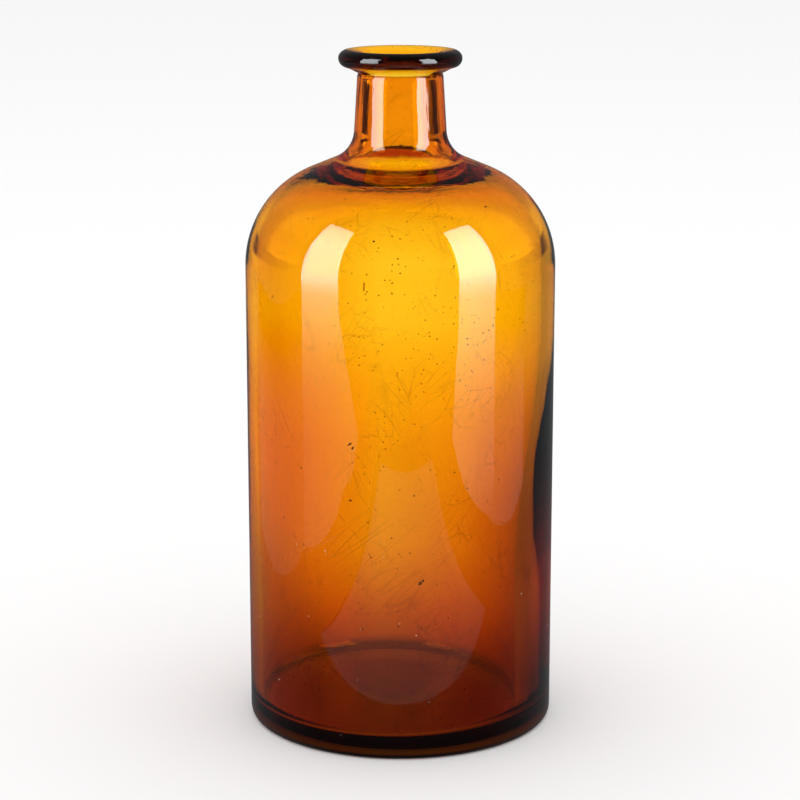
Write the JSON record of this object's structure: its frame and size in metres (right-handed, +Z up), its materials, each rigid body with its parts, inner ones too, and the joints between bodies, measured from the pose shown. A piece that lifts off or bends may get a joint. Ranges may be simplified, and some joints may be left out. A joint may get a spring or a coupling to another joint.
{
  "type": "medicine bottle",
  "caption": "Round amber glass apothecary bottle: straight cylindrical body, rounded shoulder, short neck and thick flared lip around an open mouth.",
  "frame": {"origin": "centre of the foot, on the plane that the standing ring rests on", "axes": "+Z up the bottle's axis towards the mouth; the bottle is round, so +X and +Y are any two directions across it"},
  "size_m": [0.1, 0.1, 0.22],
  "materials": {
    "body_glass": "clear amber blown glass, glossy, with seeds, faint waves and fine surface scratches",
    "lip_glass": "thick amber glass, fire-polished and glossy, looks nearly black where it is deep"
  },
  "bodies": {
    "root": {"bottle_body": "body_glass", "lip_ring": "lip_glass"}
  },
  "joints": []
}
